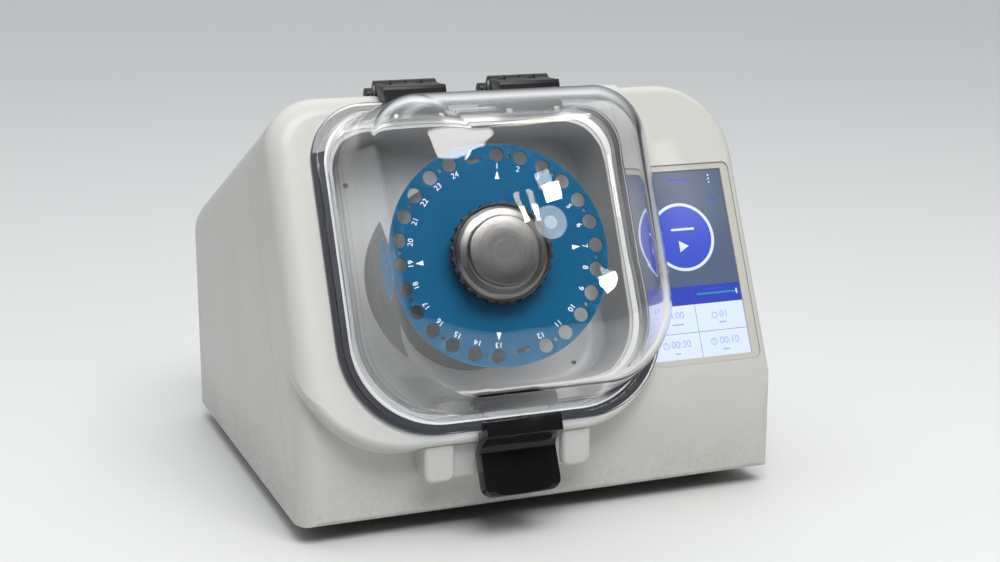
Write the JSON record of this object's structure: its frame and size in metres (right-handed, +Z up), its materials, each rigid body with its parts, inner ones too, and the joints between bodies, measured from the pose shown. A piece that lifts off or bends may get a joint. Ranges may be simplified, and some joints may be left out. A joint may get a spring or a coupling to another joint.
{
  "type": "bench sample mill",
  "caption": "Bench mill for small sample tubes: clear swing-up lid with latch, nutating tube plate with clamp knob, touch display, motor drive and rear inlet.",
  "frame": {"origin": "on the bench under the middle of the whole machine", "axes": "+Z up, +Y towards the back, +X to the right seen from the front"},
  "size_m": [0.395, 0.478, 0.3345],
  "materials": {
    "housing": "fine satin paint",
    "sheet_steel": "zinc plated",
    "dark_sheet": "fine powder coat",
    "rubber": "matt",
    "gasket": "smooth",
    "screws": "zinc plated",
    "black_screws": "black oxide",
    "liner": "satin",
    "guard": "moulded",
    "magnets": "nickel plated",
    "bezel": "satin",
    "glass": "glossy, lit from behind",
    "circuit": "circuit board",
    "black_plastic": "glossy",
    "hinge_black": "semi gloss",
    "steel": "turned",
    "aluminium": "turned",
    "motor": "painted",
    "rotor": "laminated",
    "blue_plate": "anodised, satin",
    "knob_metal": "turned and brushed",
    "clear": "clear, glossy"
  },
  "bodies": {
    "housing": {"front_shell": "housing", "rear_shell": "housing", "base_plate": "sheet_steel", "feet": "rubber", "foot_screws": "screws", "chamber_liner": "liner", "drive_guard": "guard", "guard_magnets": "magnets", "lid_gasket": "gasket", "display_bezel": "bezel", "display_glass": "glass", "display_module": "circuit", "latch_keeper": "housing", "front_screws": "black_screws", "lock_solenoid": "sheet_steel", "interlock_switch": "hinge_black", "hinge_base_left": "hinge_black", "hinge_base_right": "hinge_black", "hinge_pins": "steel", "motor_bracket": "sheet_steel", "isolator_mounts": "rubber", "bearing_housing": "aluminium", "shaft_bearings": "steel", "motor_body": "motor", "motor_end_cap": "motor", "control_board": "circuit", "power_supply": "sheet_steel", "rear_panel": "dark_sheet", "panel_screws": "screws", "power_inlet": "hinge_black", "inlet_pins": "steel", "switch_frame": "hinge_black", "usb_port": "steel", "fan_frame": "hinge_black", "fan_guard": "steel"},
    "shaft": {"drive_shaft": "steel", "motor_rotor": "rotor", "angled_hub": "steel", "counterweight": "steel", "hub_screws": "screws"},
    "carriage": {"carriage_hub": "aluminium", "carriage_bearings": "steel", "carriage_stud": "steel", "carriage_magnets": "magnets", "tube_plate": "blue_plate"},
    "clamp": {"clamp_washer": "steel"},
    "knob": {"knob_body": "knob_metal", "knob_grip_ring": "hinge_black"},
    "lid": {"lid_shell": "clear", "hinge_leaf_left": "hinge_black", "hinge_leaf_right": "hinge_black", "lid_screws": "screws", "latch_bracket": "steel", "latch_pin": "steel", "latch_spring": "steel"},
    "latch": {"latch_handle": "black_plastic"},
    "bolt": {"lock_bolt": "steel"},
    "rocker": {"switch_rocker": "hinge_black"},
    "fuse": {"fuse_drawer": "hinge_black"},
    "fan": {"fan_rotor": "hinge_black"}
  },
  "joints": [
    {"name": "shaft_spin", "type": "hinge", "parent": "housing", "child": "shaft", "pos_m": [-0.037, -0.08094, 0.19252], "axis": [0, -0.9114, 0.4115], "continuous": true},
    {"name": "carriage_roll", "type": "hinge", "parent": "shaft", "child": "carriage", "pos_m": [-0.037, -0.0937, 0.19828], "axis": [-0.1158, -0.927, 0.3566], "continuous": true},
    {"name": "clamp_lift", "type": "slide", "parent": "carriage", "child": "clamp", "axis": [-0.1158, -0.927, 0.3566], "range_m": [0, 0.006]},
    {"name": "knob_turn", "type": "hinge", "parent": "clamp", "child": "knob", "pos_m": [-0.037, -0.0937, 0.19828], "axis": [-0.1158, -0.927, 0.3566], "range_deg": [0, 1080]},
    {"name": "lid_swing", "type": "hinge", "parent": "housing", "child": "lid", "pos_m": [-0.037, -0.02786, 0.3271], "axis": [-1, 0, 0], "range_deg": [0, 110]},
    {"name": "latch_pull", "type": "hinge", "parent": "lid", "child": "latch", "pos_m": [-0.037, -0.16435, 0.08919], "axis": [-1, 0, 0], "range_deg": [-3, 18], "stiffness_Nm_per_rad": 0.4},
    {"name": "lock_slide", "type": "slide", "parent": "housing", "child": "bolt", "axis": [-1, 0, 0], "range_m": [0, 0.006], "stiffness_N_per_m": 100},
    {"name": "rocker_tilt", "type": "hinge", "parent": "housing", "child": "rocker", "pos_m": [0.056, 0.23153, 0.063], "axis": [0, 0, 1], "range_deg": [0, 12]},
    {"name": "fuse_slide", "type": "slide", "parent": "housing", "child": "fuse", "axis": [0, 1, 0], "range_m": [0, 0.018]},
    {"name": "fan_spin", "type": "hinge", "parent": "housing", "child": "fan", "pos_m": [-0.052, 0.21702, 0.091], "axis": [0, 1, 0], "continuous": true}
  ],
  "couplings": [
    {"joint": "carriage_roll", "follows": "shaft_spin", "ratio": -1},
    {"joint": "clamp_lift", "follows": "knob_turn", "m_per_rad": 0.00031831}
  ]
}
